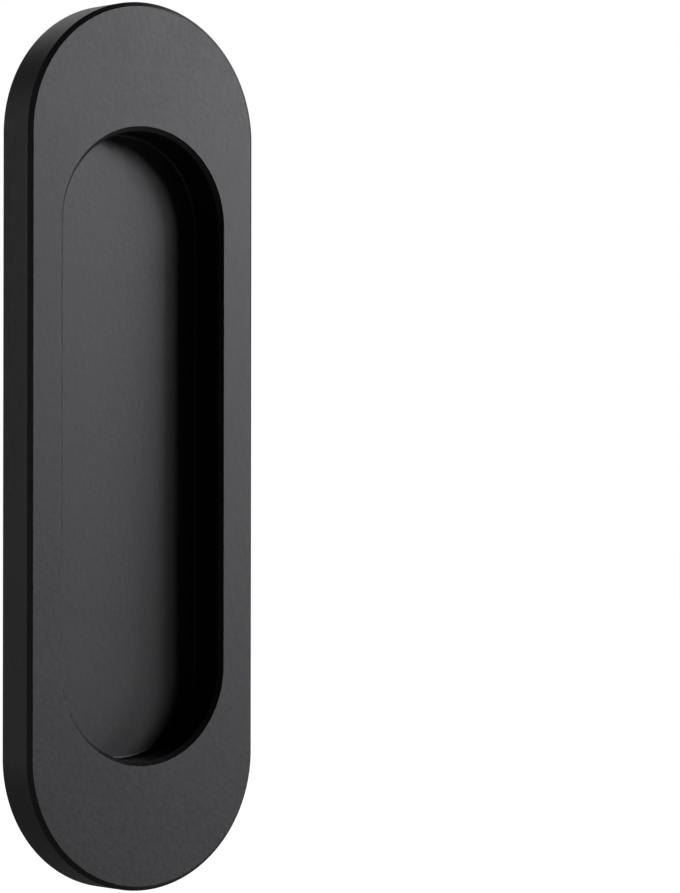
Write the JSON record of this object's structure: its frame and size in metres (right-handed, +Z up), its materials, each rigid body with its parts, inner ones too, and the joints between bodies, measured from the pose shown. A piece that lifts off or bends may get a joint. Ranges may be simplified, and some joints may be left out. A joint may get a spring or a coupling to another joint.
{
  "type": "pocket door pull",
  "caption": "Obround flush pull for a sliding or pocket door: a thick black metal body with a deep obround finger recess and chamfered edges, fixed from behind by two screws.",
  "frame": {"origin": "centre of the flat back", "axes": "+Z up along the pull's length, -Y out of the front face, +Y into the door, X across the width"},
  "size_m": [0.0454, 0.0085, 0.15],
  "materials": {
    "black_finish": "satin"
  },
  "bodies": {
    "root": {"pull_body": "black_finish"}
  },
  "joints": []
}
